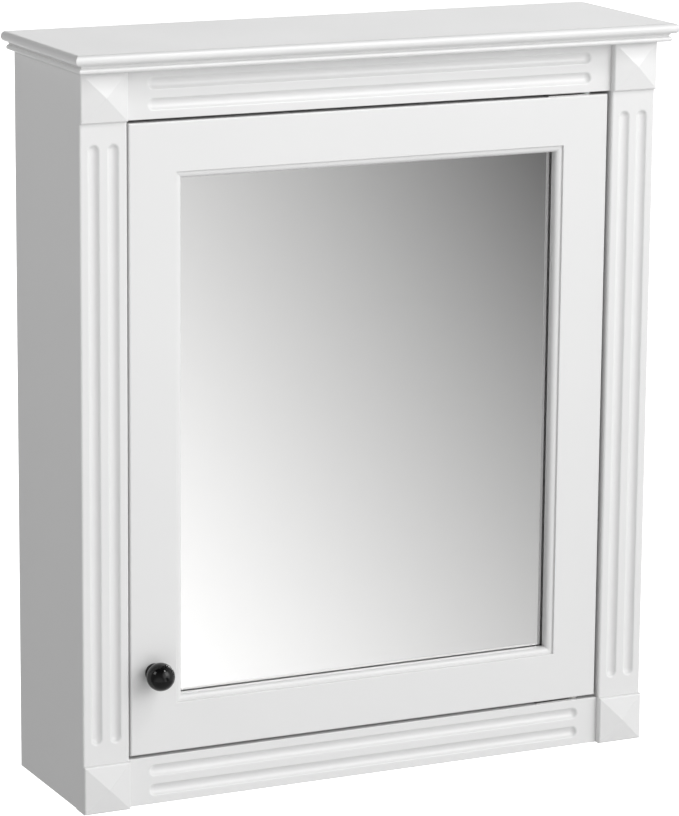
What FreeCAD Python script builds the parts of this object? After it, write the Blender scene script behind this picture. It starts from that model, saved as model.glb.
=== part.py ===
import FreeCAD, Part
import math
import os

# Wall-hung bathroom cabinet with an inset mirror door, in millimetres.
# X runs to the right, the front faces -Y, Z is up. The origin is the centre of the back, on the wall.

# ---- overall sizes -------------------------------------------------------------------------------
frame_width = 576.0          # face frame, side to side
frame_height = 676.0         # face frame, bottom edge to the underside of the cornice
carcass_depth = 140.0        # wall to the back of the face frame

# ---- boards --------------------------------------------------------------------------------------
board = 15.0                 # carcass panels
back_board = 6.0             # back panel
rebate_width = 9.0           # rebate in the side panels that takes the back panel
back_clearance = 0.5         # back panel to rebate, each side
side_setback = 1.0           # the side panels stand this far inside the face frame
panel_arris = 1.2            # rounding of the side panels' front edges
hanging_rail_height = 60.0
wall_hole_spacing = 400.0
wall_hole_radius = 3.0

# ---- face frame ----------------------------------------------------------------------------------
member_width = 45.0          # rails, pilasters and corner blocks
rail_thickness = 16.0
pilaster_proud = 3.5         # pilaster face in front of the rail face
block_proud = 7.0            # corner block edge in front of the rail face
pyramid_height = 4.5
frame_arris = 2.0
rail_arris = 0.8
flute_cutter_radius = 5.6
flute_depth = 3.4
flute_easing = 1.8            # rounding where a flute meets the face
flute_spacing = 18.5
rail_flute_margin = 21.5     # end of a rail's flutes to the corner block
pilaster_flute_margin = 19.5

# ---- cornice -------------------------------------------------------------------------------------
cornice_thickness = 18.0
cornice_projection = 13.0    # nose in front of the foot of the moulding
cornice_foot_proud = 7.5     # foot of the moulding in front of the corner blocks
nose_radius = 4.6
cove_radius = 3.0
bead_radius = 2.4

# ---- door ----------------------------------------------------------------------------------------
door_gap = 2.8
door_thickness = 18.0
door_member = 52.0           # door edge to mirror edge
door_flat = 45.7             # door edge to the step of the moulding
door_arris = 1.5
step_arris = 0.8
step_depth = 2.2
ovolo_radius = 5.0
sight_lip = 4.0               # plain depth between the moulding and the mirror
mirror_rebate = 8.0
glass_thickness = 4.0
glass_clearance = 1.0        # glass and backing to the rebate, each side

# ---- knob ----------------------------------------------------------------------------------------
knob_radius = 13.0
knob_standoff = 16.0         # ball centre in front of the door face
knob_height = 125.0          # above the cabinet's bottom edge
rose_radius = 8.6
rose_thickness = 3.0
neck_radius = 5.0
knob_screw_radius = 2.0
knob_screw_depth = 9.0       # screw thread inside the knob

# ---- pivot hinges --------------------------------------------------------------------------------
pivot_inset = 20.0           # pivot axis to the door's edge
leaf_length = 46.0
leaf_width = 10.0
leaf_thickness = 3.0
leaf_proud = 0.8             # leaf face above the wood
pivot_radius = 2.5
pivot_clearance = 0.05
washer_radius = 4.6
washer_clearance = 0.1
hinge_screw_radius = 1.5
hinge_screw_length = 14.0

# ---- shelves -------------------------------------------------------------------------------------
shelf_thickness = 12.0
shelf_side_clearance = 1.0
shelf_swing_clearance = 4.0  # shelf to the path of the door's hinge end
shelf_back_clearance = 1.0
shelf_lift_gap = 0.2         # shelf to its pins
pin_radius = 2.45
pin_hole_radius = 2.5
pin_hole_depth = 9.0
pin_length = 8.0             # part of the pin inside the cabinet
pin_insertion = 8.0
pin_pitch = 32.0
pin_holes_each_way = 4       # holes above and below the middle one
shelf_pitches = 3            # shelves sit this many pitches from the middle
pin_row_front = 100.0        # wall to the front row of pin holes
pin_row_back = 35.0

# ---- magnetic catch ------------------------------------------------------------------------------
catch_width = 40.0
catch_height = 13.0
catch_depth = 16.0
catch_inset = 34.0           # door edge to the catch's middle
catch_gap = 0.3
strike_width = 26.0
strike_height = 9.0
strike_thickness = 0.6
strike_edge = 2.0             # strike plate to the door's lower edge
strike_screw_radius = 1.4
strike_screw_length = 11.0
catch_body_width = 22.0
ear_height = 7.0              # the two ears that take the catch's screws
ear_setback = 3.0             # ears behind the catch's front and in front of its back
catch_screw_spacing = 30.0
catch_screw_radius = 1.5
catch_screw_length = 13.0
magnet_width = 18.0
magnet_depth = 9.0
magnet_height = 6.0
magnet_proud = 0.4            # magnet in front of the catch's body

# ---- small fixings -------------------------------------------------------------------------------
frame_dowel_radius = 3.0
frame_dowel_length = 28.0
carcass_dowel_radius = 4.0
carcass_dowel_length = 30.0
carcass_dowel_depth = 10.0   # part of the dowel inside a side panel
back_screw_radius = 1.5
back_screw_length = 22.0
cornice_screw_radius = 2.0
cornice_screw_length = 27.0
clip_width = 12.0
clip_length = 20.0
clip_thickness = 0.8
clip_overlap = 7.0           # clip over the backing board
clip_screw_radius = 1.4
clip_screw_length = 11.0

# ---- derived places ------------------------------------------------------------------------------
half_width = frame_width / 2
bottom_z = -frame_height / 2
top_z = frame_height / 2
rail_back = -carcass_depth
rail_front = rail_back - rail_thickness
pilaster_front = rail_front - pilaster_proud
block_front = rail_front - block_proud
opening_x = half_width - member_width
opening_z = top_z - member_width
side_outer = half_width - side_setback
side_inner = side_outer - board
back_front = -back_board
door_x = opening_x - door_gap
door_z = opening_z - door_gap
door_front = rail_front
door_back = door_front + door_thickness
mirror_x = door_x - door_member
mirror_z = door_z - door_member
mirror_front = door_front + step_depth + ovolo_radius + sight_lip
glass_x = mirror_x + mirror_rebate - glass_clearance
glass_z = mirror_z + mirror_rebate - glass_clearance
backing_front = mirror_front + glass_thickness
floor_z = -opening_z
ceiling_z = top_z - board
pivot_x = door_x - pivot_inset
pivot_y = rail_front + rail_thickness / 2
swing_radius = math.hypot(pivot_inset, door_back - pivot_y)
shelf_front = pivot_y + swing_radius + shelf_swing_clearance
knob_x = -(door_x - door_flat / 2)
knob_z = bottom_z + knob_height


def point(x, y, z):
    return FreeCAD.Vector(x, y, z)


def slab(x, y, z):
    """A box between two limits on each axis, given as pairs."""
    return Part.makeBox(x[1] - x[0], y[1] - y[0], z[1] - z[0], point(x[0], y[0], z[0]))


def rod(radius, start, direction, length):
    return Part.makeCylinder(radius, length, point(*start), point(*direction))


def mirrored(shape):
    """The same piece for the other side of the cabinet."""
    return shape.mirror(point(0, 0, 0), point(1, 0, 0))


def flipped(shape):
    """The same piece for the other end of the cabinet, top to bottom."""
    return shape.mirror(point(0, 0, 0), point(0, 0, 1))


def group(shapes):
    return Part.makeCompound(shapes)


def cut_all(shape, tools):
    return shape.cut(group(tools)) if tools else shape


def save(node, shape):
    shape.exportStep("parts/" + node + ".step")


def round_edges(shape, radius, chosen):
    """Round the edges for which chosen(centre, edge) is true."""
    edges = [edge for edge in shape.Edges if chosen(edge.CenterOfMass, edge)]
    return shape.makeFillet(radius, edges)


def near(a, b):
    return abs(a - b) < 0.01


def cross_recess(radius, top, direction):
    """Cross-shaped driver recess of a screw, sunk from the top of its head along direction."""
    half = 0.2 * radius
    sink = (-0.1 * radius, 0.65 * radius)
    cross = slab((-radius, radius), (-half, half), sink).fuse(slab((-half, half), (-radius, radius), sink))
    turn = FreeCAD.Rotation(point(0, 0, 1), point(*direction))
    cross.Placement = FreeCAD.Placement(point(*top), turn)
    return cross


def countersunk_screw(radius, length, start, direction, recess=False):
    """A screw with a flat head, its face at start, pointing along direction.

    Without its driver recess it is also the shape of the hole that it fills.
    """
    head_radius = 2 * radius
    head_depth = 1.1 * radius
    head = Part.makeCone(head_radius, radius, head_depth, point(*start), point(*direction))
    screw = head.fuse(rod(radius, start, direction, length))
    return screw.cut(cross_recess(radius, start, direction)) if recess else screw


def pan_screw(radius, length, start, direction, recess=False):
    """A screw with a domed head standing on start, its shank along direction."""
    head_radius = 2 * radius
    head_height = 1.3 * radius
    away = [-c for c in direction]
    head = rod(head_radius, start, away, head_height)
    head = round_edges(head, 0.5 * radius,
                       lambda c, e: near(abs((c - point(*start)).dot(point(*away))), head_height))
    screw = head.fuse(rod(radius, start, direction, length))
    top = [start[i] + away[i] * head_height for i in range(3)]
    return screw.cut(cross_recess(radius, top, direction)) if recess else screw


# ---- carcass -------------------------------------------------------------------------------------

def pin_hole_heights():
    return [k * pin_pitch for k in range(-pin_holes_each_way, pin_holes_each_way + 1)]


def carcass_dowel_places():
    """Middle height of each board that butts against a side panel, and the dowels' depths."""
    heights = [ceiling_z + board / 2, floor_z - board / 2]
    depths = [-carcass_depth * 0.25, -carcass_depth * 0.75]
    return [(y, z) for z in heights for y in depths]


def carcass_dowels():
    start = -side_inner - carcass_dowel_depth
    left = [rod(carcass_dowel_radius, (start, y, z), (1, 0, 0), carcass_dowel_length)
            for y, z in carcass_dowel_places()]
    return left + [mirrored(dowel) for dowel in left]


def back_screws(recess=False):
    """Countersunk screws through the back panel into the sides, the boards and the hanging rail."""
    side_x = side_inner + rebate_width / 2
    step = (frame_height - 60.0) / 4
    places = [(sign * side_x, k * step) for sign in (-1, 1) for k in range(-2, 3)]
    places += [(sign * frame_width / 5, z) for sign in (-1, 1)
               for z in (ceiling_z + board / 2, floor_z - board / 2)]
    rail_z = ceiling_z - hanging_rail_height / 2
    places += [(sign * frame_width / 5, rail_z) for sign in (-1, 1)]
    return [countersunk_screw(back_screw_radius, back_screw_length if abs(z - rail_z) > 1 else board,
                              (x, 0, z), (0, -1, 0), recess) for x, z in places]


def wall_holes():
    z = ceiling_z - hanging_rail_height / 2
    length = back_board + board
    return [rod(wall_hole_radius, (x, 0, z), (0, -1, 0), length)
            for x in (-wall_hole_spacing / 2, wall_hole_spacing / 2)]


def side_panel():
    panel = slab((-side_outer, -side_inner), (-carcass_depth, 0), (bottom_z, top_z))
    panel = round_edges(panel, panel_arris,
                        lambda c, e: near(c.x, -side_outer) and near(c.y, -carcass_depth))
    rebate = slab((-side_inner - rebate_width, -side_inner), (back_front, 0), (bottom_z, top_z))
    holes = [rod(pin_hole_radius, (-side_inner - pin_hole_depth, -y, z), (1, 0, 0), pin_hole_depth)
             for y in (pin_row_back, pin_row_front) for z in pin_hole_heights()]
    return cut_all(panel, [rebate] + holes + carcass_dowels() + back_screws())


def cross_panel(low_z):
    panel = slab((-side_inner, side_inner), (-carcass_depth, back_front), (low_z, low_z + board))
    return cut_all(panel, carcass_dowels() + back_screws())


def back_panel():
    x = side_inner + rebate_width - back_clearance
    panel = slab((-x, x), (back_front, 0), (bottom_z, top_z))
    return cut_all(panel, back_screws() + wall_holes())


def hanging_rail():
    low = ceiling_z - hanging_rail_height
    rail = slab((-side_inner, side_inner), (back_front - board, back_front), (low, ceiling_z))
    return cut_all(rail, back_screws() + wall_holes())


# ---- cornice -------------------------------------------------------------------------------------

def cornice_edge():
    """Outline of the moulded edge from the foot up: pairs of distance outside the foot and height.

    Each item is a line end, or an arc given by its middle and its end.
    """
    nose_x = cornice_projection - nose_radius
    nose_low = cornice_thickness - 2 * nose_radius
    cove_x = nose_x - cove_radius
    cove_low = nose_low - cove_radius
    bead_x = cove_x
    bead_low = cove_low - 2 * bead_radius
    diagonal = math.sqrt(0.5)
    return [
        ("line", (0.0, 0.0)),
        ("line", (bead_x, bead_low)),
        ("arc", (bead_x + bead_radius, bead_low + bead_radius), (bead_x, cove_low)),
        ("arc", (nose_x - cove_radius * diagonal, nose_low - cove_radius + cove_radius * diagonal),
         (nose_x, nose_low)),
        ("arc", (cornice_projection, nose_low + nose_radius), (nose_x, cornice_thickness)),
    ]


def edge_path(place, items):
    """Edges of the moulded outline, each pair put in space by place()."""
    edges = []
    last = place(*items[0][1])
    for item in items[1:]:
        end = place(*item[-1])
        if item[0] == "line":
            edges.append(Part.LineSegment(last, end).toShape())
        else:
            edges.append(Part.Arc(last, place(*item[1]), end).toShape())
        last = end
    return edges, last


def cornice_board():
    """Board moulded on the front and both sides; each corner is where the two runs meet."""
    items = cornice_edge()
    front_foot = block_front - cornice_foot_proud
    depth = -front_foot + cornice_projection
    left, left_top = edge_path(lambda out, up: point(-side_outer - out, 0, top_z + up), items)
    right, right_top = edge_path(lambda out, up: point(side_outer + out, 0, top_z + up), items)
    across = left + [Part.LineSegment(left_top, right_top).toShape()] + right
    across.append(Part.LineSegment(point(side_outer, 0, top_z), point(-side_outer, 0, top_z)).toShape())
    run = Part.Face(Part.Wire(Part.__sortEdges__(across))).extrude(point(0, -depth, 0))
    half = side_outer + cornice_projection
    front, front_top = edge_path(lambda out, up: point(-half, front_foot - out, top_z + up), items)
    back_low = point(-half, 0, top_z)
    back_high = point(-half, 0, top_z + cornice_thickness)
    front.append(Part.LineSegment(front_top, back_high).toShape())
    front.append(Part.LineSegment(back_high, back_low).toShape())
    front.append(Part.LineSegment(back_low, point(-half, front_foot, top_z)).toShape())
    face = Part.Face(Part.Wire(Part.__sortEdges__(front))).extrude(point(2 * half, 0, 0))
    return cut_all(run.common(face), cornice_screws())


def cornice_screws(recess=False):
    return [countersunk_screw(cornice_screw_radius, cornice_screw_length,
                              (x, -carcass_depth * share, ceiling_z), (0, 0, 1), recess)
            for x in (-frame_width * 0.35, frame_width * 0.35) for share in (0.3, 0.8)]


# ---- face frame ----------------------------------------------------------------------------------

def frame_dowels():
    """Dowels across the joints of the corner blocks, one to each rail and one to each pilaster."""
    y = rail_back - rail_thickness / 2
    half = frame_dowel_length / 2
    middle = opening_x + member_width / 2
    height = opening_z + member_width / 2
    one = [rod(frame_dowel_radius, (opening_x - half, y, height), (1, 0, 0), frame_dowel_length),
           rod(frame_dowel_radius, (middle, y, opening_z - half), (0, 0, 1), frame_dowel_length)]
    right = one + [flipped(dowel) for dowel in one]
    return right + [mirrored(dowel) for dowel in right]


def flute(start, end, surface):
    """Round-ended groove cutter between two points of the surface, given without depth."""
    y = surface - (flute_cutter_radius - flute_depth)
    reach = math.sqrt(flute_cutter_radius ** 2 - (flute_cutter_radius - flute_depth) ** 2)
    line = point(end[0] - start[0], 0, end[1] - start[1])
    along = FreeCAD.Vector(line).normalize()
    first = point(start[0], y, start[1]) + along * reach
    length = line.Length - 2 * reach
    tool = Part.makeCylinder(flute_cutter_radius, length, first, along)
    for centre in (first, first + along * length):
        tool = tool.fuse(Part.makeSphere(flute_cutter_radius, centre))
    return tool


def fluted(shape, cutters, surface):
    """The piece with its flutes cut, and the edge of each flute eased."""
    shape = shape.cut(group(cutters))
    spans = [cutter.BoundBox for cutter in cutters]

    def on_flute(centre, edge):
        inside = [span.XMin - 1 < centre.x < span.XMax + 1 and span.ZMin - 1 < centre.z < span.ZMax + 1
                  for span in spans]
        return near(centre.y, surface) and any(inside)

    return round_edges(shape, flute_easing, on_flute)


def top_rail():
    rail = slab((-opening_x, opening_x), (rail_front, rail_back), (opening_z, top_z))
    rail = round_edges(rail, rail_arris,
                       lambda c, e: near(c.y, rail_front) and near(c.x, 0))
    end = opening_x - rail_flute_margin
    middle = opening_z + member_width / 2
    cutters = [flute((-end, middle + s * flute_spacing / 2), (end, middle + s * flute_spacing / 2),
                     rail_front) for s in (-1, 1)]
    return cut_all(fluted(rail, cutters, rail_front), frame_dowels() + [frame_leaf_seat()])


def right_pilaster():
    pilaster = slab((opening_x, half_width), (pilaster_front, rail_back), (-opening_z, opening_z))
    pilaster = round_edges(pilaster, frame_arris,
                           lambda c, e: near(c.y, pilaster_front) and near(c.z, 0))
    pilaster = round_edges(pilaster, panel_arris,
                           lambda c, e: near(c.y, rail_back) and near(c.x, half_width))
    end = opening_z - pilaster_flute_margin
    middle = opening_x + member_width / 2
    cutters = [flute((middle + s * flute_spacing / 2, -end), (middle + s * flute_spacing / 2, end),
                     pilaster_front) for s in (-1, 1)]
    return cut_all(fluted(pilaster, cutters, pilaster_front), frame_dowels())


def corner_block():
    """Upper right corner block: a square block with a low pyramid on its face."""
    block = slab((opening_x, half_width), (block_front, rail_back), (opening_z, top_z))
    block = round_edges(block, frame_arris, lambda c, e: near(c.y, block_front))
    block = round_edges(block, panel_arris,
                        lambda c, e: near(c.y, rail_back) and near(c.x, half_width))
    x = (opening_x + frame_arris, half_width - frame_arris)
    z = (opening_z + frame_arris, top_z - frame_arris)
    base = [point(x[0], block_front, z[0]), point(x[1], block_front, z[0]),
            point(x[1], block_front, z[1]), point(x[0], block_front, z[1])]
    apex = point(sum(x) / 2, block_front - pyramid_height, sum(z) / 2)
    faces = [Part.Face(Part.makePolygon([base[i], base[(i + 1) % 4], apex, base[i]])) for i in range(4)]
    faces.append(Part.Face(Part.makePolygon(base + [base[0]])))
    pyramid = Part.makeSolid(Part.makeShell(faces))
    if pyramid.Volume < 0:
        pyramid.reverse()
    return cut_all(block.fuse(pyramid).removeSplitter(), frame_dowels())


# ---- door ----------------------------------------------------------------------------------------

def door_member_outline():
    """Section of a door member: x from the door's edge inwards, y from the face backwards."""
    def at(inward, back):
        return point(inward, door_front + back, 0)

    def corner(start, radius, side):
        """Middle point of a rounded corner of this radius; side picks the corner."""
        bulge = radius * (1 - math.sqrt(0.5))
        return at(start + side * bulge, bulge)

    lip = step_depth + ovolo_radius + sight_lip
    ovolo_start = door_member - ovolo_radius
    ovolo_middle = at(ovolo_start + ovolo_radius * math.sqrt(0.5),
                      step_depth + ovolo_radius * (1 - math.sqrt(0.5)))
    line = Part.LineSegment
    edges = [
        Part.Arc(at(0, door_arris), corner(0, door_arris, 1), at(door_arris, 0)),
        line(at(door_arris, 0), at(door_flat - step_arris, 0)),
        Part.Arc(at(door_flat - step_arris, 0), corner(door_flat, step_arris, -1),
                 at(door_flat, step_arris)),
        line(at(door_flat, step_arris), at(door_flat, step_depth)),
        line(at(door_flat, step_depth), at(ovolo_start, step_depth)),
        Part.Arc(at(ovolo_start, step_depth), ovolo_middle, at(door_member, step_depth + ovolo_radius)),
        line(at(door_member, step_depth + ovolo_radius), at(door_member, lip)),
        line(at(door_member, lip), at(door_member - mirror_rebate, lip)),
        line(at(door_member - mirror_rebate, lip), at(door_member - mirror_rebate, door_thickness)),
        line(at(door_member - mirror_rebate, door_thickness), at(0, door_thickness)),
        line(at(0, door_thickness), at(0, door_arris)),
    ]
    return Part.Face(Part.Wire([edge.toShape() for edge in edges]))


def mitred_member(length):
    """Door member of this outer length along Z, with both ends cut at 45 degrees."""
    section = door_member_outline()
    section.translate(point(0, 0, -length / 2))
    bar = section.extrude(point(0, 0, length))
    half = length / 2
    plan = [point(0, 0, -half), point(door_member, 0, -half + door_member),
            point(door_member, 0, half - door_member), point(0, 0, half)]
    keep = Part.Face(Part.makePolygon(plan + [plan[0]]))
    keep.translate(point(0, door_front - 1, 0))
    keep = keep.extrude(point(0, door_thickness + 2, 0))
    return bar.common(keep)


def door_stile():
    """Left stile of the door."""
    stile = mitred_member(2 * door_z)
    stile.translate(point(-door_x, 0, 0))
    return stile


def door_rail():
    """Top rail of the door."""
    rail = mitred_member(2 * door_x)
    rail.rotate(point(0, 0, 0), point(0, 1, 0), 90)
    rail.translate(point(0, 0, door_z))
    return rail


def mirror_glass():
    return slab((-glass_x, glass_x), (mirror_front, backing_front), (-glass_z, glass_z))


def mirror_backing():
    return slab((-glass_x, glass_x), (backing_front, door_back), (-glass_z, glass_z))


def clip_places():
    """Middle of each clip on the rebate's edge, with the direction towards the mirror."""
    edge_x = mirror_x + mirror_rebate
    edge_z = mirror_z + mirror_rebate
    upright = [(sign * edge_x, k * edge_z * 0.6, (-sign, 0)) for sign in (-1, 1) for k in (-1, 1)]
    level = [(k * edge_x * 0.6, sign * edge_z, (0, -sign)) for sign in (-1, 1) for k in (-1, 1)]
    return upright + level


def clip_screws(recess=False):
    reach = (clip_length - clip_overlap) / 2
    return [pan_screw(clip_screw_radius, clip_screw_length,
                      (x - way[0] * reach, door_back + clip_thickness, z - way[1] * reach), (0, -1, 0),
                      recess)
            for x, z, way in clip_places()]


def mirror_clips():
    clips = []
    for x, z, way in clip_places():
        inner = clip_overlap
        outer = clip_length - clip_overlap
        if way[0]:
            span_x = sorted((x + way[0] * inner, x - way[0] * outer))
            span_z = (z - clip_width / 2, z + clip_width / 2)
        else:
            span_x = (x - clip_width / 2, x + clip_width / 2)
            span_z = sorted((z + way[1] * inner, z - way[1] * outer))
        clip = slab(span_x, (door_back, door_back + clip_thickness), span_z)
        clips.append(round_edges(clip, 2.0, lambda c, e: near(e.Length, clip_thickness)))
    return [cut_all(clip, clip_screws()) for clip in clips]


# ---- knob ----------------------------------------------------------------------------------------

def knob_screw(recess=False):
    length = door_thickness + rose_thickness + knob_screw_depth
    return pan_screw(knob_screw_radius, length, (knob_x, door_back, knob_z), (0, -1, 0), recess)


def knob():
    centre_y = door_front - knob_standoff
    ball = Part.makeSphere(knob_radius, point(knob_x, centre_y, knob_z))
    neck_start = door_front - rose_thickness
    neck = rod(neck_radius, (knob_x, neck_start, knob_z), (0, -1, 0), knob_standoff - rose_thickness)
    behind = slab((knob_x - 20, knob_x + 20), (neck_start, door_front + 20), (knob_z - 20, knob_z + 20))
    return ball.fuse(neck).cut(behind).cut(knob_screw())


def knob_rose():
    """Turned collar between knob and door."""
    rose = rod(rose_radius, (knob_x, door_front, knob_z), (0, -1, 0), rose_thickness)
    rose = round_edges(rose, 1.4, lambda c, e: near(c.y, door_front - rose_thickness))
    return rose.cut(knob_screw())


# ---- pivot hinges --------------------------------------------------------------------------------

def leaf(low_z):
    """Hinge leaf with one round end on the pivot axis, from low_z up."""
    plate = slab((pivot_x - leaf_length + leaf_width / 2, pivot_x),
                 (pivot_y - leaf_width / 2, pivot_y + leaf_width / 2), (low_z, low_z + leaf_thickness))
    return plate.fuse(rod(leaf_width / 2, (pivot_x, pivot_y, low_z), (0, 0, 1), leaf_thickness))


def frame_leaf_low():
    return opening_z - leaf_proud


def door_leaf_low():
    return door_z + leaf_proud - leaf_thickness


def frame_leaf_seat():
    return leaf(frame_leaf_low())


def door_leaf_seat():
    return leaf(door_leaf_low())


def hinge_screw_places():
    return [pivot_x - leaf_length * share for share in (0.38, 0.72)]


def frame_hinge_screws(recess=False):
    return [countersunk_screw(hinge_screw_radius, hinge_screw_length, (x, pivot_y, frame_leaf_low()),
                              (0, 0, 1), recess) for x in hinge_screw_places()]


def door_hinge_screws(recess=False):
    return [countersunk_screw(hinge_screw_radius, hinge_screw_length,
                              (x, pivot_y, door_leaf_low() + leaf_thickness), (0, 0, -1), recess)
            for x in hinge_screw_places()]


def pivot_pin():
    """Pin riveted in the frame leaf, ending just below the door leaf."""
    low = door_leaf_low() - 1.0
    high = frame_leaf_low() + leaf_thickness
    return rod(pivot_radius, (pivot_x, pivot_y, low), (0, 0, 1), high - low)


def pivot_bore(low, length):
    return rod(pivot_radius + pivot_clearance, (pivot_x, pivot_y, low), (0, 0, 1), length)


def frame_leaf():
    return cut_all(leaf(frame_leaf_low()), [pivot_pin()] + frame_hinge_screws())


def door_leaf():
    low = door_leaf_low()
    return cut_all(leaf(low), [pivot_bore(low, leaf_thickness)] + door_hinge_screws())


def door_pivot_well():
    """Clearance in the door rail for the pin's end."""
    depth = 2.0
    return rod(pivot_radius + 0.6, (pivot_x, pivot_y, door_leaf_low() - depth), (0, 0, 1), depth)


def pivot_washer():
    low = door_leaf_low() + leaf_thickness + washer_clearance
    high = frame_leaf_low() - washer_clearance
    washer = rod(washer_radius, (pivot_x, pivot_y, low), (0, 0, 1), high - low)
    return washer.cut(pivot_bore(low, high - low))


# ---- shelves -------------------------------------------------------------------------------------

def shelf(height):
    """Shelf whose underside lies on pins at this height."""
    x = side_inner - shelf_side_clearance
    low = height + pin_radius + shelf_lift_gap
    board_shape = slab((-x, x), (shelf_front, back_front - shelf_back_clearance),
                       (low, low + shelf_thickness))
    return round_edges(board_shape, 1.5, lambda c, e: near(c.y, shelf_front) and near(c.x, 0))


def shelf_pins(height):
    start = -side_inner - pin_insertion
    left = [rod(pin_radius, (start, -y, height), (1, 0, 0), pin_insertion + pin_length)
            for y in (pin_row_back, pin_row_front)]
    return left + [mirrored(pin) for pin in left]


# ---- magnetic catch ------------------------------------------------------------------------------

def catch_middle():
    return -(door_x - catch_inset)


def catch_front():
    return door_back + strike_thickness + catch_gap


def catch_magnet():
    x = catch_middle()
    front = catch_front()
    low = floor_z + (catch_height - magnet_height) / 2
    return slab((x - magnet_width / 2, x + magnet_width / 2), (front, front + magnet_depth),
                (low, low + magnet_height))


def catch_screws(recess=False):
    x = catch_middle()
    y = catch_front() + catch_depth / 2
    return [countersunk_screw(catch_screw_radius, catch_screw_length,
                              (x + s * catch_screw_spacing / 2, y, floor_z + ear_height), (0, 0, -1), recess)
            for s in (-1, 1)]


def catch_housing():
    """Moulded body screwed to the cabinet's floor, with lower ears for its screws."""
    x = catch_middle()
    front = catch_front()
    body = slab((x - catch_body_width / 2, x + catch_body_width / 2),
                (front + magnet_proud, front + catch_depth), (floor_z, floor_z + catch_height))
    ears = slab((x - catch_width / 2, x + catch_width / 2),
                (front + ear_setback, front + catch_depth - ear_setback), (floor_z, floor_z + ear_height))
    body = round_edges(body, 1.0, lambda c, e: near(c.z, floor_z + catch_height))
    return cut_all(body.fuse(ears), [catch_magnet()] + catch_screws())


def strike_screw(recess=False):
    z = -door_z + strike_height / 2 + strike_edge
    return countersunk_screw(strike_screw_radius, strike_screw_length,
                             (catch_middle(), door_back + strike_thickness, z), (0, -1, 0), recess)


def strike_plate():
    x = catch_middle()
    low = -door_z + strike_edge
    plate = slab((x - strike_width / 2, x + strike_width / 2), (door_back, door_back + strike_thickness),
                 (low, low + strike_height))
    plate = round_edges(plate, 2.0, lambda c, e: near(e.Length, strike_thickness))
    return plate.cut(strike_screw())


# ---- the whole cabinet ---------------------------------------------------------------------------

def build():
    os.makedirs("parts", exist_ok=True)
    side = side_panel()
    save("left_side_panel", side)
    save("right_side_panel", mirrored(side))
    save("top_panel", cut_all(cross_panel(ceiling_z), cornice_screws()))
    save("bottom_panel", cut_all(cross_panel(floor_z - board), catch_screws()))
    save("back_panel", back_panel())
    save("hanging_rail", hanging_rail())
    save("carcass_dowels", group(carcass_dowels()))
    save("back_panel_screws", group(back_screws(True)))
    save("cornice_board", cornice_board())
    save("cornice_screws", group(cornice_screws(True)))

    rail = cut_all(top_rail(), frame_hinge_screws() + [pivot_pin()])
    pilaster = right_pilaster()
    block = corner_block()
    save("top_rail", rail)
    save("bottom_rail", flipped(rail))
    save("right_pilaster", pilaster)
    save("left_pilaster", mirrored(pilaster))
    save("corner_block_top_right", block)
    save("corner_block_top_left", mirrored(block))
    save("corner_block_bottom_right", flipped(block))
    save("corner_block_bottom_left", flipped(mirrored(block)))
    save("frame_dowels", group(frame_dowels()))

    fixings = clip_screws() + [knob_screw(), strike_screw()]
    hinge_cuts = door_hinge_screws() + [door_leaf_seat(), door_pivot_well()]
    stile = door_stile()
    top = door_rail().cut(group(hinge_cuts))
    save("door_stile_left", cut_all(stile, fixings))
    save("door_stile_right", cut_all(mirrored(stile), fixings))
    save("door_rail_top", cut_all(top, fixings))
    save("door_rail_bottom", cut_all(flipped(top), fixings))
    save("mirror_glass", mirror_glass())
    save("mirror_backing", mirror_backing())
    save("mirror_clips", group(mirror_clips()))
    save("mirror_clip_screws", group(clip_screws(True)))
    save("knob", knob())
    save("knob_rose", knob_rose())
    save("knob_screw", knob_screw(True))

    upper = {
        "hinge_frame_leaf": frame_leaf(),
        "hinge_door_leaf": door_leaf(),
        "hinge_pin": pivot_pin(),
        "hinge_washer": pivot_washer(),
        "hinge_frame_screws": group(frame_hinge_screws(True)),
        "hinge_door_screws": group(door_hinge_screws(True)),
    }
    for name, shape in upper.items():
        save("upper_" + name, shape)
        save("lower_" + name, flipped(shape))

    shelf_height = shelf_pitches * pin_pitch
    save("upper_shelf", shelf(shelf_height))
    save("lower_shelf", shelf(-shelf_height))
    save("upper_shelf_pins", group(shelf_pins(shelf_height)))
    save("lower_shelf_pins", group(shelf_pins(-shelf_height)))

    save("catch_housing", catch_housing())
    save("catch_magnet", catch_magnet())
    save("catch_screws", group(catch_screws(True)))
    save("strike_plate", strike_plate())
    save("strike_screw", strike_screw(True))


build()
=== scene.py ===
# %% [markdown]
# # A mirrored bathroom cabinet
#
# The boards, mouldings, door and fittings of this cabinet come from its CAD model, in metres. Here
# they get their finishes, the mirror gets its glass and its silver, and the whole is set in a small
# studio. Each step is explained first, and its code follows.

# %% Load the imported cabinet
import math

import bmesh
import bpy
from mathutils import Matrix, Vector


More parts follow.
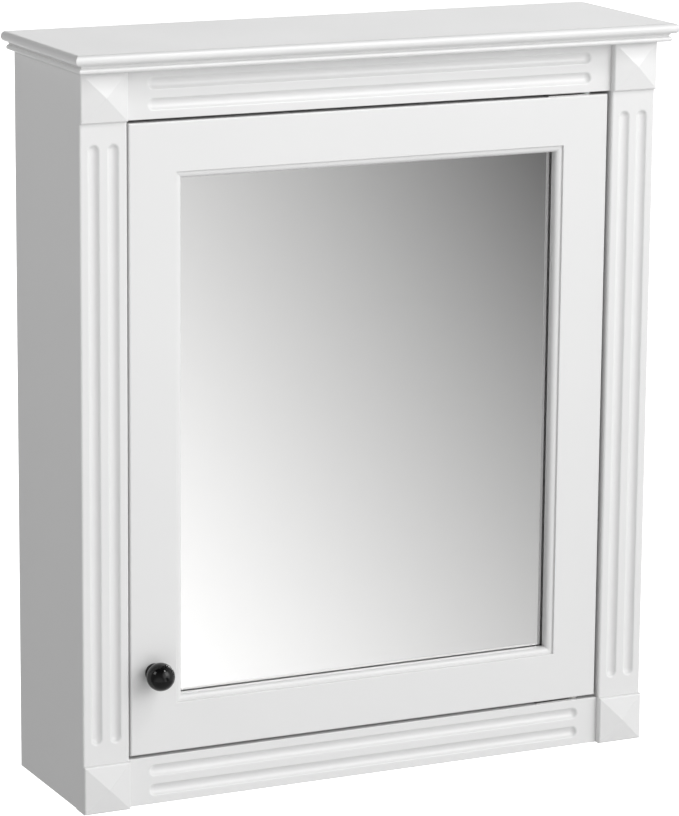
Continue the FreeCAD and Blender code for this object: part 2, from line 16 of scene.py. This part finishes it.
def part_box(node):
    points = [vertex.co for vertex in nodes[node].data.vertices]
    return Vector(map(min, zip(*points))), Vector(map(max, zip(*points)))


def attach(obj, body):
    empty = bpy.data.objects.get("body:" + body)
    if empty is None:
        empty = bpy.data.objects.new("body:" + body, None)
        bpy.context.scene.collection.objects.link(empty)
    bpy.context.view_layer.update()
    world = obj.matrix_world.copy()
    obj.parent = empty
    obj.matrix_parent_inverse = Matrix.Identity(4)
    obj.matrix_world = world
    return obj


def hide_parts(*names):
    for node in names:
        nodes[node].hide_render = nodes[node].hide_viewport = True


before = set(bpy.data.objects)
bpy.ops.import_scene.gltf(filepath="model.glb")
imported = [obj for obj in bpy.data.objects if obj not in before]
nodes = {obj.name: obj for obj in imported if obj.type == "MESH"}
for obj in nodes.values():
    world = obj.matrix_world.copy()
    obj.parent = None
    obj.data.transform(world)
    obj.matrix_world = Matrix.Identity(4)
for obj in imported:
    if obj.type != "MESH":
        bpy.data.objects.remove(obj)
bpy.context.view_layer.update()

# %% [markdown]
# ## Where the camera stands
#
# The cabinet is seen from its left, a little above, from far enough away that its lines hardly
# converge. That needs a long lens. The camera could be turned with three angles, but three unit
# vectors (right, up, away) say the same thing without any question of turning order, so its matrix
# is built from those.

# %% Camera
view_azimuth = math.radians(25.5325)
view_elevation = math.radians(12.7842)
view_roll = math.radians(0.481)
view_distance = 3.65224
view_target = Vector((-0.03301, -0.156, 0.0162))
lens = 176.3755

away = Vector((math.sin(view_azimuth) * math.cos(view_elevation),
               math.cos(view_azimuth) * math.cos(view_elevation),
               -math.sin(view_elevation)))
level_right = Vector((math.cos(view_azimuth), -math.sin(view_azimuth), 0))
level_up = level_right.cross(away)
camera_right = level_right * math.cos(view_roll) + level_up * math.sin(view_roll)
camera_up = level_up * math.cos(view_roll) - level_right * math.sin(view_roll)
camera_place = view_target - away * view_distance
turn = Matrix((camera_right, camera_up, -away)).transposed().to_4x4()

camera = bpy.data.objects.new("camera", bpy.data.cameras.new("camera"))
bpy.context.scene.collection.objects.link(camera)
camera.data.sensor_width = 36
camera.data.lens = lens
camera.data.clip_end = 100
camera.matrix_world = Matrix.Translation(camera_place) @ turn
bpy.context.scene.camera = camera
bpy.context.scene.view_settings.view_transform = "Standard"
print("camera at", [round(v, 3) for v in camera_place])

# %% [markdown]
# ## Helpers for shader nodes
#
# Every finish below is a small tree of nodes. Adding a node takes the same three moves each time:
# make it, set its choices, and feed its inputs. One helper does all three, so a finish reads like
# a recipe. The others are the few sums that nearly every finish needs.

# %% Node helpers
def node(tree, kind, choices=None, **feeds):
    """Add a shader node; each feed is a plain value or the output of another node."""
    made = tree.nodes.new("ShaderNode" + kind)
    for name, value in (choices or {}).items():
        setattr(made, name, value)
    for name, value in feeds.items():
        put(tree, made.inputs[name.replace("_", " ")], value)
    return made


def put(tree, socket, value):
    """Feed one socket with a plain value or with another node's output."""
    if isinstance(value, bpy.types.NodeSocket):
        tree.links.new(value, socket)
    else:
        socket.default_value = value


def ramp(tree, value, low, high, out_low, out_high, smooth=False):
    """Stretch a value from one span to another, held at both ends."""
    made = node(tree, "MapRange", {"interpolation_type": "SMOOTHSTEP" if smooth else "LINEAR"},
                Value=value)
    for name, number in (("From Min", low), ("From Max", high), ("To Min", out_low), ("To Max", out_high)):
        put(tree, made.inputs[name], number)
    return made.outputs["Result"]


def sums(tree, how, first, second):
    """One step of arithmetic on two values."""
    made = node(tree, "Math", {"operation": how})
    put(tree, made.inputs[0], first)
    put(tree, made.inputs[1], second)
    return made.outputs["Value"]


def blended(tree, share, low, high):
    """A mix of two colours; each is a plain colour or another node's output."""
    made = node(tree, "Mix", {"data_type": "RGBA"})
    for place, value in ((0, share), (6, low), (7, high)):
        put(tree, made.inputs[place], value)
    return made.outputs[2]


def dotted(tree, direction, fixed):
    """How far a direction leans towards a fixed one: 1 along it, 0 across it."""
    made = node(tree, "VectorMath", {"operation": "DOT_PRODUCT"})
    put(tree, made.inputs[0], direction)
    made.inputs[1].default_value = fixed
    return made.outputs["Value"]


# %% [markdown]
# ## The room's glow
#
# A white cabinet in a white room is shaped by small differences of light. Here the room is a world
# whose brightness depends only on direction: an even glow, to which soft lobes are added. One lobe
# has a negative share, which stands for a ceiling that is darker than the walls. Each lobe fades
# smoothly, as light from a large white sheet would. Sheets of emitting mesh would do the same but
# could show up in the mirror with hard edges.

# %% World
def towards(azimuth, elevation):
    """The unit vector that points azimuth degrees right of the front and elevation degrees up."""
    a = math.radians(azimuth)
    e = math.radians(elevation)
    return Vector((math.sin(a) * math.cos(e), -math.cos(a) * math.cos(e), math.sin(e)))


def lobe(middle, outer, inner):
    """A smooth spot on the room's walls: 0 beyond the outer angle, 1 within the inner one."""
    return ramp(room, dotted(room, look, middle), math.cos(math.radians(outer)),
                math.cos(math.radians(inner)), 0, 1, True)


world = bpy.data.worlds.new("studio")
bpy.context.scene.world = world
world.use_nodes = True
room = world.node_tree
room.nodes.clear()
look = node(room, "TexCoord").outputs["Generated"]
even_glow = 0.316
# middle, outer angle, inner angle, strength
front_light = (towards(30, 20), 40, 10, 1.62)
right_wall = (towards(90, 0), 90, 10, 0.494)
low_left_sheet = (towards(-35, -30), 50, 20, 0.592)
backdrop = (away, 40, 14, 1.0)
ceiling = (towards(0, 90), 70, 20, -0.25)
total = even_glow
for middle, outer, inner, strength in (front_light, right_wall, low_left_sheet, backdrop, ceiling):
    total = sums(room, "ADD", total, sums(room, "MULTIPLY", lobe(middle, outer, inner), strength))

# %% [markdown]
# ## What the mirror looks at
#
# A mirror has no tone of its own; it shows the part of the room that it faces. On the real object
# that is a wall which grows darker towards the upper right. So one patch of the room, in the
# direction that the mirror sends the camera's view, gets that slope of brightness and then fades
# into the rest of the room.

# %% Patch behind the camera
patch_middle = towards(26, -12.3)
patch_slope = Vector((0.795, 0.253, 0.552))
patch = ramp(room, dotted(room, look, patch_slope), -0.1018, 0.0691, 1.40, 0.162)
patch_share = lobe(patch_middle, 24, 9)
room_share = sums(room, "SUBTRACT", 1, patch_share)
around = sums(room, "MULTIPLY", total, room_share)
faced = sums(room, "MULTIPLY", patch, patch_share)
seen = sums(room, "ADD", around, faced)
glow = node(room, "Background", Color=(1, 1, 1, 1), Strength=seen)
node(room, "OutputWorld", Surface=glow.outputs["Background"])

# %% [markdown]
# ## Lamps
#
# The glow alone would leave the mouldings flat. Three square lamps, as a photographer would set them
# up, add direction: a broad one in front on the right, one on the left that picks out the rounded
# edges, and a small bright one whose reflection is the glint on the knob.

# %% Softboxes
lamp_distance = 2.4


def softbox(name, direction, side, power):
    """A square lamp that faces the middle of the cabinet's back from a fixed distance."""
    lamp = bpy.data.lights.new(name, "AREA")
    lamp.size = side
    lamp.energy = power
    stand = bpy.data.objects.new(name, lamp)
    bpy.context.scene.collection.objects.link(stand)
    stand.location = direction * lamp_distance
    stand.rotation_mode = "QUATERNION"
    stand.rotation_quaternion = direction.to_track_quat("Z", "Y")


softbox("broad_lamp", towards(30, 26), 1.2, 9.8)
softbox("edge_lamp", towards(-80, 30), 0.8, 6.9)
softbox("glint_lamp", towards(26.4, 51.5), 0.45, 8.0)

# %% [markdown]
# ## A pale floor
#
# The cabinet hangs on a wall, so nothing stands under it. A wide pale sheet far below only catches
# light and sends a little of it up. It is nearly clear by its rim, so that it never shows a horizon.

# %% Floor
floor_height = -1.3
floor_radius = 3.0
fade_start = 2.0
fade_end = 3.2


def new_finish(name):
    """A material with an empty node tree, the tree, and the place on the piece it is felt from."""
    finish = bpy.data.materials.new(name)
    finish.use_nodes = True
    finish.node_tree.nodes.clear()
    place = node(finish.node_tree, "TexCoord").outputs["Object"]
    return finish, finish.node_tree, place


def new_piece(name, mesh, finish):
    """Turn a bmesh into an object of the scene that wears one finish."""
    data = bpy.data.meshes.new(name)
    mesh.to_mesh(data)
    mesh.free()
    data.materials.append(finish)
    made = bpy.data.objects.new(name, data)
    bpy.context.scene.collection.objects.link(made)
    return made


floor_paint, tree, place = new_finish("floor_paint")
reach = node(tree, "VectorMath", {"operation": "LENGTH"})
put(tree, reach.inputs[0], place)
fade = ramp(tree, reach.outputs["Value"], fade_start, fade_end, 1, 0, True)
mottle = node(tree, "TexNoise", Vector=place, Scale=3.0, Detail=4.0).outputs["Fac"]
sheet = node(tree, "BsdfDiffuse", Color=blended(tree, mottle, (0.80, 0.80, 0.80, 1), (0.84, 0.84, 0.84, 1)))
clear = node(tree, "BsdfTransparent")
both = node(tree, "MixShader", Fac=fade)
tree.links.new(clear.outputs[0], both.inputs[1])
tree.links.new(sheet.outputs[0], both.inputs[2])
node(tree, "OutputMaterial", Surface=both.outputs[0])
mesh = bmesh.new()
bmesh.ops.create_circle(mesh, cap_ends=True, segments=96, radius=floor_radius,
                        matrix=Matrix.Translation((0, 0, floor_height)))
floor = new_piece("studio_floor", mesh, floor_paint)

# %% [markdown]
# ## Satin white paint
#
# The visible wood is sprayed with white paint that has a soft sheen. Close up such a coat is never
# quite flat: it has a fine ripple, its sheen wanders a little, and its corners are darker with dust
# and painted shade. The ripple is a very shallow bump, the wandering sheen a slow noise in the
# roughness, and the dust and painted shade come from ambient occlusion, which tells how much of a
# point's surroundings is blocked.

# %% Paint for the front and the sides
def dust_and_shade(tree, reach, amount):
    """How much painted shade and dust a point gets, found by ambient occlusion: none in the open, the given
    amount deep in a corner.
    """
    # Ambient occlusion darkens what is enclosed: painted shade, with some dust.
    open_air = node(tree, "AmbientOcclusion", {"samples": 6}, Distance=reach)
    return ramp(tree, open_air.outputs["AO"], 0.2, 0.9, amount, 0)


def noise(tree, place, scale, detail=3.0, roughness=0.5):
    """A cloud of values around one half; a larger scale makes smaller clouds."""
    made = node(tree, "TexNoise", Vector=place, Scale=scale, Detail=detail, Roughness=roughness)
    return made.outputs["Fac"]


def stretched(tree, place, x, y, z):
    """Squeeze the place along some axes, so that a noise becomes grain or brush marks."""
    made = node(tree, "VectorMath", {"operation": "MULTIPLY"})
    put(tree, made.inputs[0], place)
    made.inputs[1].default_value = (x, y, z)
    return made.outputs["Vector"]


def finished(tree, normal, **feeds):
    """Close a finish with its surface shader."""
    shell = node(tree, "BsdfPrincipled", Normal=normal, **feeds)
    node(tree, "OutputMaterial", Surface=shell.outputs[0])
    return shell


paint_tone = 0.80


def paint_colour(tree, place, shade_and_dust):
    """The white of the paint: a faint drift of tone, and the given share of painted shade and dust in
    corners.
    """
    low, high = paint_tone * 0.985, paint_tone * 1.015
    colour = blended(tree, noise(tree, place, 7.0), (low, low, low, 1), (high, high, high * 0.997, 1))
    # Corners darken towards this grey: painted shade, with some dust.
    shade_and_dust_tone = paint_tone * 0.6
    return blended(tree, dust_and_shade(tree, 0.006, shade_and_dust), colour, (shade_and_dust_tone, shade_and_dust_tone * 0.99, shade_and_dust_tone * 0.97, 1))


satin_paint, tree, place = new_finish("satin_white_paint")
ripple = noise(tree, place, 620.0, 2.0, 0.45)
skin = node(tree, "Bump", Height=ripple, Strength=0.07, Distance=0.0002)
finished(tree, skin.outputs["Normal"], Base_Color=paint_colour(tree, place, 0.12),
         Roughness=ramp(tree, noise(tree, place, 12.0, 1.0), 0.0, 1.0, 0.27, 0.31), IOR=1.5)

# %% [markdown]
# ## Paint inside the case
#
# The inner boards and the shelves carry the same colour, but a thinner coat that was rolled on.
# Their edges are only broken with sandpaper. The Bevel node rounds them for the light alone, which
# is enough for an edge this small, and comparing its normal with the true one tells where an edge
# is, so that the coat can be a little lighter there: wear, and a painted highlight. Its corners hold
# more painted shade and dust than the sprayed coat.

# %% Paint for the inner boards
rolled_paint, tree, place = new_finish("rolled_white_paint")
eased = node(tree, "Bevel", {"samples": 4}, Radius=0.0006).outputs["Normal"]
agree = node(tree, "VectorMath", {"operation": "DOT_PRODUCT"})
put(tree, agree.inputs[0], eased)
put(tree, agree.inputs[1], node(tree, "NewGeometry").outputs["Normal"])
# Edges lighter: wear, and a painted highlight.
edge_wear_and_highlight = ramp(tree, agree.outputs["Value"], 0.75, 0.995, 0.5, 0)
roller = noise(tree, place, 330.0, 4.0, 0.55)
grain = noise(tree, stretched(tree, place, 4.0, 90.0, 90.0), 3.0, 5.0)
# Lighter on the edges (wear and painted highlight), darker in corners (painted shade and dust).
colour = blended(tree, edge_wear_and_highlight, paint_colour(tree, place, 0.3), (0.87, 0.87, 0.86, 1))
coat = node(tree, "Bump", Height=roller, Normal=eased, Strength=0.25, Distance=0.0002)
coat = node(tree, "Bump", Height=grain, Normal=coat.outputs["Normal"], Strength=0.12, Distance=0.0002)
finished(tree, coat.outputs["Normal"], Base_Color=colour,
         Roughness=ramp(tree, noise(tree, place, 35.0), 0.3, 0.7, 0.38, 0.5), IOR=1.5)

# %% [markdown]
# ## Black enamel
#
# The knob and the collar behind it are glossy black. Stoved enamel flows nearly smooth and keeps a
# trace of orange peel, and its gloss drifts a little where it has been handled. Its black is so deep
# that the eye reads its shape from reflections alone, so the gloss matters more than the colour.

# %% Enamel
black_enamel, tree, place = new_finish("black_stoved_enamel")
peel = node(tree, "Bump", Height=noise(tree, place, 260.0, 1.0), Strength=0.02, Distance=0.0001)
touched = ramp(tree, noise(tree, place, 70.0, 2.0), 0.0, 1.0, 0.045, 0.065)
black = blended(tree, noise(tree, place, 45.0), (0.0020, 0.0020, 0.0022, 1), (0.0035, 0.0035, 0.0037, 1))
finished(tree, peel.outputs["Normal"], Base_Color=black, Roughness=touched, IOR=1.38)

# %% [markdown]
# ## Zinc-plated steel
#
# Screws, hinge leaves, pins and clips are plated steel: bright, slightly patchy where the plating
# crystals differ, with fine drawing lines, and darker in the recesses with grime and painted shade.
# The lines come from a noise that is squeezed along one axis.

# %% Steel
zinc_steel, tree, place = new_finish("zinc_plated_steel")
crystals = node(tree, "TexVoronoi", Vector=place, Scale=900.0).outputs["Distance"]
lines = noise(tree, stretched(tree, place, 0.2, 6.0, 6.0), 700.0, 3.0)
plate = blended(tree, crystals, (0.56, 0.565, 0.575, 1), (0.68, 0.68, 0.675, 1))
# Darker in recesses, from ambient occlusion: painted shade, with some grime.
plate = blended(tree, dust_and_shade(tree, 0.003, 0.55), plate, (0.16, 0.14, 0.12, 1))
drawn = node(tree, "Bump", Height=lines, Strength=0.2, Distance=0.00005)
finished(tree, drawn.outputs["Normal"], Base_Color=plate, Metallic=1.0,
         Roughness=ramp(tree, lines, 0.3, 0.7, 0.26, 0.42))

# %% [markdown]
# ## Hardboard, beech, nylon and ferrite
#
# Four humbler materials stay out of sight until the door is open. Hardboard is pressed wood fibre,
# brown and flecked. The dowels are beech, with short dark flecks along the grain. The hinge washers
# and the catch are moulded nylon, faintly waxy. The magnet is a sintered ceramic, nearly black and
# grainy.

# %% Hardboard
hardboard, tree, place = new_finish("brown_hardboard")
fibres = noise(tree, stretched(tree, place, 1.0, 1.0, 2.4), 260.0, 6.0, 0.7)
flecks = ramp(tree, noise(tree, place, 900.0, 2.0), 0.62, 0.7, 0, 0.7)
brown = blended(tree, fibres, (0.14, 0.070, 0.034, 1), (0.33, 0.19, 0.10, 1))
brown = blended(tree, flecks, brown, (0.07, 0.035, 0.018, 1))
pressed = node(tree, "Bump", Height=fibres, Strength=0.35, Distance=0.0002)
finished(tree, pressed.outputs["Normal"], Base_Color=brown,
         Roughness=ramp(tree, fibres, 0.3, 0.7, 0.5, 0.72))

# %% Beech
beech, tree, place = new_finish("dowel_beech")
rays = noise(tree, stretched(tree, place, 0.25, 3.0, 3.0), 420.0, 4.0)
wood = blended(tree, rays, (0.42, 0.25, 0.13, 1), (0.62, 0.43, 0.26, 1))
pores = node(tree, "Bump", Height=rays, Strength=0.3, Distance=0.0001)
finished(tree, pores.outputs["Normal"], Base_Color=wood, Roughness=ramp(tree, rays, 0.3, 0.7, 0.5, 0.65))

# %% Nylon
nylon, tree, place = new_finish("white_nylon")
waxy = blended(tree, noise(tree, place, 90.0), (0.74, 0.735, 0.70, 1), (0.80, 0.795, 0.77, 1))
# Darker in recesses, from ambient occlusion: painted shade, with some dust.
waxy = blended(tree, dust_and_shade(tree, 0.003, 0.4), waxy, (0.35, 0.33, 0.30, 1))
mould = node(tree, "Bump", Height=noise(tree, place, 800.0, 2.0), Strength=0.15, Distance=0.0001)
finished(tree, mould.outputs["Normal"], Base_Color=waxy, Subsurface_Weight=0.15, Subsurface_Scale=0.001,
         Roughness=ramp(tree, noise(tree, place, 200.0), 0.3, 0.7, 0.36, 0.48))

# %% Ferrite
ferrite, tree, place = new_finish("sintered_ferrite")
grit = noise(tree, place, 1500.0, 4.0, 0.7)
dark = blended(tree, grit, (0.018, 0.018, 0.020, 1), (0.060, 0.058, 0.056, 1))
rough_cut = node(tree, "Bump", Height=grit, Strength=0.4, Distance=0.0001)
finished(tree, rough_cut.outputs["Normal"], Base_Color=dark, Roughness=ramp(tree, grit, 0.3, 0.7, 0.42, 0.65))

# %% [markdown]
# ## Who wears what
#
# Each CAD piece comes with one slot named after its material. White wood is of two kinds here: what
# faces the room is sprayed, and what is inside the case is rolled. The mirror's CAD piece wears
# paint only until the pane below takes its place.

# %% Give each piece its finish
inner_boards = ("top_panel", "bottom_panel", "back_panel", "hanging_rail", "upper_shelf", "lower_shelf")
worn_by_slot = {
    "painted_wood": satin_paint,
    "mirror": satin_paint,
    "black_enamel": black_enamel,
    "steel": zinc_steel,
    "hardboard": hardboard,
    "dowel_beech": beech,
    "white_plastic": nylon,
    "ferrite": ferrite,
}
for name, piece in nodes.items():
    for slot in piece.material_slots:
        slot.material = rolled_paint if name in inner_boards else worn_by_slot[slot.material.name]
print("finishes given to", len(nodes), "pieces")

# %% [markdown]
# ## Glass and silver
#
# A household mirror is a pane of clear glass with silver on its back. The two faces matter: near
# the frame one sees into the glass and finds the frame's inner edge twice. So the mirror is made as
# a real pane with seamed edges and a thin metal film close behind it. The pane stands a hair behind
# the frame's lip, so that no two faces lie in the same plane.

# %% Glass finish and silver finish
clear_glass, tree, place = new_finish("clear_glass")
wavy = node(tree, "Bump", Height=noise(tree, place, 9.0, 1.0), Strength=0.02, Distance=0.0002)
finished(tree, wavy.outputs["Normal"], Base_Color=(1.0, 1.0, 1.0, 1), Transmission_Weight=1.0, IOR=1.52,
         Roughness=0.0)

silver_film, tree, place = new_finish("silver_film")
# The silver darkens where ambient occlusion finds it enclosed: painted shade, with some tarnish.
tarnish_and_shade = dust_and_shade(tree, 0.002, 0.25)
bright = blended(tree, noise(tree, place, 5.0), (0.955, 0.955, 0.955, 1), (0.965, 0.965, 0.965, 1))
bright = blended(tree, tarnish_and_shade, bright, (0.55, 0.54, 0.52, 1))
flat = node(tree, "Bump", Height=noise(tree, place, 6.0, 1.0), Strength=0.02, Distance=0.0002)
finished(tree, flat.outputs["Normal"], Base_Color=bright, Metallic=1.0, Roughness=0.0)

# %% Pane and film
pane_low, pane_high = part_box("mirror_glass")
lip_gap = 0.00005            # frame's lip to the pane
film_thickness = 0.00008
film_gap = 0.00002           # pane to film
film_margin = 0.0006         # the silver stops short of the pane's edge
backing_gap = 0.00001        # film to the backing board
ground_edge = 0.0005


def seamed_plate(name, low, high, seam, finish):
    """A flat plate between two corners whose edges are ground off at 45 degrees."""
    mesh = bmesh.new()
    bmesh.ops.create_cube(mesh, size=1.0)
    for corner in mesh.verts:
        corner.co = Vector([low[i] if corner.co[i] < 0 else high[i] for i in range(3)])
    if seam:
        bmesh.ops.bevel(mesh, geom=mesh.edges[:], offset=seam, segments=1, affect="EDGES")
    return new_piece(name, mesh, finish)


film_back = pane_high[1]
film_front = film_back - film_thickness
pane_front = pane_low[1] + lip_gap
pane_back = film_front - film_gap
pane = seamed_plate("mirror_pane", (pane_low[0], pane_front, pane_low[2]),
                    (pane_high[0], pane_back, pane_high[2]), ground_edge, clear_glass)
film_low = (pane_low[0] + film_margin, film_front, pane_low[2] + film_margin)
film_high = (pane_high[0] - film_margin, film_back - backing_gap, pane_high[2] - film_margin)
film = seamed_plate("mirror_film", film_low, film_high, 0, silver_film)
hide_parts("mirror_glass")
for part in (pane, film):
    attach(part, "door")
print("pane thickness mm", round((pane_back - pane_front) * 1000, 2))
